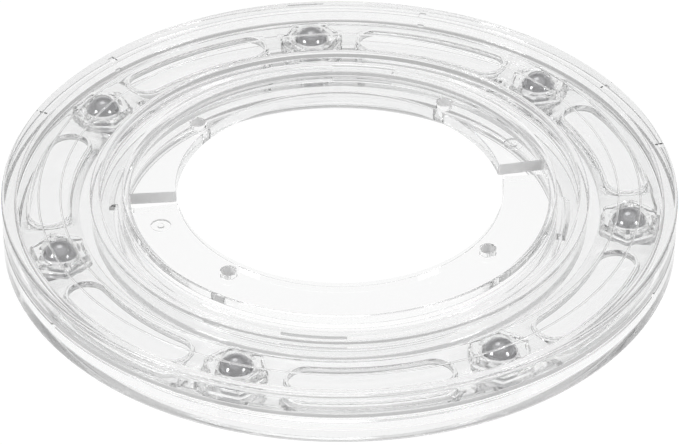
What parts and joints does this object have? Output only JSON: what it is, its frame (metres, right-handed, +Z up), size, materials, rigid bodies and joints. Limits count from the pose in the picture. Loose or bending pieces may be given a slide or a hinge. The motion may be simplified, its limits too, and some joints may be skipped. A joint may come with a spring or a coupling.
{
  "type": "lazy susan turntable",
  "caption": "Flat ring-shaped ball-bearing turntable in clear plastic: a turning top ring with a screw flange runs on caged steel balls over a base ring.",
  "frame": {"origin": "centre of the base ring's underside, where the spin axis meets the table", "axes": "+Z up along the spin axis; +X through the middle of one of the two gaps in the screw flange"},
  "size_m": [0.2, 0.2, 0.0173],
  "materials": {
    "clear_plastic": "clear, glossy",
    "steel_ball": "polished"
  },
  "bodies": {
    "base": {"base_ring": "clear_plastic"},
    "turntable": {"turntable_ring": "clear_plastic"},
    "cage": {"ball_cage": "clear_plastic"},
    "ball_body_1": {"ball_1": "steel_ball"},
    "ball_body_2": {"ball_2": "steel_ball"},
    "ball_body_3": {"ball_3": "steel_ball"},
    "ball_body_4": {"ball_4": "steel_ball"},
    "ball_body_5": {"ball_5": "steel_ball"},
    "ball_body_6": {"ball_6": "steel_ball"},
    "ball_body_7": {"ball_7": "steel_ball"}
  },
  "joints": [
    {"name": "turntable_spin", "type": "hinge", "parent": "base", "child": "turntable", "pos_m": [0, 0, 0.00865], "axis": [0, 0, 1], "continuous": true},
    {"name": "cage_spin", "type": "hinge", "parent": "base", "child": "cage", "pos_m": [0, 0, 0.00865], "axis": [0, 0, 1], "continuous": true},
    {"name": "ball_1_roll", "type": "hinge", "parent": "cage", "child": "ball_body_1", "pos_m": [0.06951, 0.05063, 0.00865], "axis": [-0.8083, -0.5888, 0], "continuous": true},
    {"name": "ball_2_roll", "type": "hinge", "parent": "cage", "child": "ball_body_2", "pos_m": [0.00375, 0.08592, 0.00865], "axis": [-0.0436, -0.999, 0], "continuous": true},
    {"name": "ball_3_roll", "type": "hinge", "parent": "cage", "child": "ball_body_3", "pos_m": [-0.06483, 0.0565, 0.00865], "axis": [0.7539, -0.657, 0], "continuous": true},
    {"name": "ball_4_roll", "type": "hinge", "parent": "cage", "child": "ball_body_4", "pos_m": [-0.0846, -0.01546, 0.00865], "axis": [0.9837, 0.1798, 0], "continuous": true},
    {"name": "ball_5_roll", "type": "hinge", "parent": "cage", "child": "ball_body_5", "pos_m": [-0.04066, -0.07578, 0.00865], "axis": [0.4728, 0.8812, 0], "continuous": true},
    {"name": "ball_6_roll", "type": "hinge", "parent": "cage", "child": "ball_body_6", "pos_m": [0.0339, -0.07904, 0.00865], "axis": [-0.3941, 0.919, 0], "continuous": true},
    {"name": "ball_7_roll", "type": "hinge", "parent": "cage", "child": "ball_body_7", "pos_m": [0.08293, -0.02278, 0.00865], "axis": [-0.9643, 0.2649, 0], "continuous": true}
  ],
  "couplings": [
    {"joint": "cage_spin", "follows": "turntable_spin", "ratio": 0.5},
    {"joint": "ball_1_roll", "follows": "turntable_spin", "ratio": 8.6},
    {"joint": "ball_2_roll", "follows": "turntable_spin", "ratio": 8.6},
    {"joint": "ball_3_roll", "follows": "turntable_spin", "ratio": 8.6},
    {"joint": "ball_4_roll", "follows": "turntable_spin", "ratio": 8.6},
    {"joint": "ball_5_roll", "follows": "turntable_spin", "ratio": 8.6},
    {"joint": "ball_6_roll", "follows": "turntable_spin", "ratio": 8.6},
    {"joint": "ball_7_roll", "follows": "turntable_spin", "ratio": 8.6}
  ]
}
